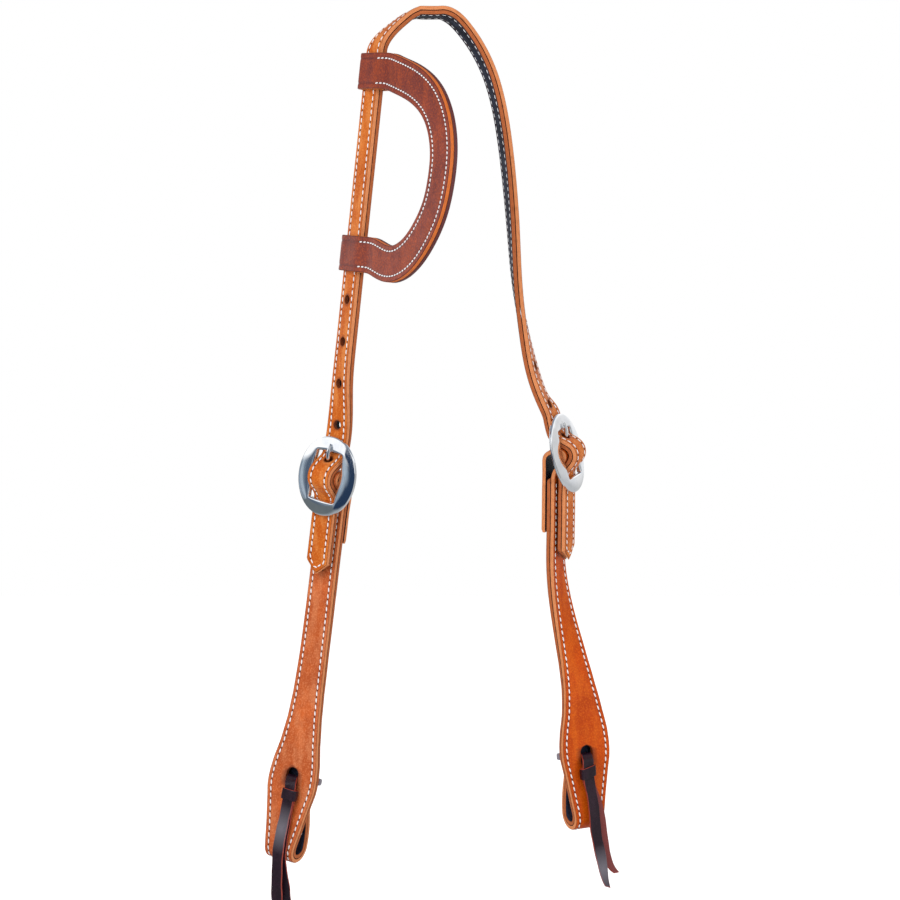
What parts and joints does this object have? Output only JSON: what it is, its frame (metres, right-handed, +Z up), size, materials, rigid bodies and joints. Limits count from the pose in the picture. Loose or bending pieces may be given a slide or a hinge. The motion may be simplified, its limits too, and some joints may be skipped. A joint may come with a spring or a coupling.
{
  "type": "western headstall",
  "caption": "One-ear western headstall: doubled leather crown strap with a sliding ear loop, centre-bar buckles and cheek straps folded into tied bit loops.",
  "frame": {"origin": "middle of the crown strap's underside at its top, where it rests on the horse's poll", "axes": "+Z up along the hanging headstall, +Y away from the viewer, +X to the viewer's right"},
  "size_m": [0.2192, 0.1392, 0.5605],
  "materials": {
    "strap_leather": "golden russet strap leather, oiled and slicked, natural edges",
    "lining_leather": "black-dyed lining leather with a soft nap",
    "ear_leather": "chestnut leather, smooth, dark burnished rim",
    "polished_steel": "polished stainless steel",
    "latigo_leather": "burgundy latigo, waxy, raw red-brown edges"
  },
  "bodies": {
    "headstall": {"crown_strap_outer": "strap_leather", "crown_strap_lining": "lining_leather", "left_buckle_frame": "polished_steel", "right_buckle_frame": "polished_steel"},
    "ear_piece": {"ear_piece_front": "ear_leather", "ear_piece_lining": "ear_leather"},
    "left_tongue": {"left_buckle_tongue": "polished_steel"},
    "right_tongue": {"right_buckle_tongue": "polished_steel"},
    "left_cheek": {"left_cheek_outer": "strap_leather", "left_cheek_lining": "lining_leather", "left_tie_thong": "latigo_leather", "left_tie_wrap": "latigo_leather", "left_tie_tail_front": "latigo_leather", "left_tie_tail_back": "latigo_leather"},
    "right_cheek": {"right_cheek_outer": "strap_leather", "right_cheek_lining": "lining_leather", "right_tie_thong": "latigo_leather", "right_tie_wrap": "latigo_leather", "right_tie_tail_front": "latigo_leather", "right_tie_tail_back": "latigo_leather"}
  },
  "joints": [
    {"name": "ear_piece_slide", "type": "slide", "parent": "headstall", "child": "ear_piece", "axis": [0.1085, -0.0822, 0.9907], "range_m": [-0.035, 0.001]},
    {"name": "left_tongue_hinge", "type": "hinge", "parent": "headstall", "child": "left_tongue", "pos_m": [-0.06191, 0.01568, -0.27622], "axis": [0.8158, -0.532, -0.227], "range_deg": [0, 5]},
    {"name": "right_tongue_hinge", "type": "hinge", "parent": "headstall", "child": "right_tongue", "pos_m": [0.08226, 0.02293, -0.26233], "axis": [0.4238, 0.8776, 0.2243], "range_deg": [0, 5]},
    {"name": "left_cheek_hinge", "type": "hinge", "parent": "headstall", "child": "left_cheek", "pos_m": [-0.06191, 0.01568, -0.27622], "axis": [0.8158, -0.532, -0.227], "range_deg": [0, 35]},
    {"name": "right_cheek_hinge", "type": "hinge", "parent": "headstall", "child": "right_cheek", "pos_m": [0.08226, 0.02293, -0.26233], "axis": [0.4238, 0.8776, 0.2243], "range_deg": [0, 35]}
  ]
}
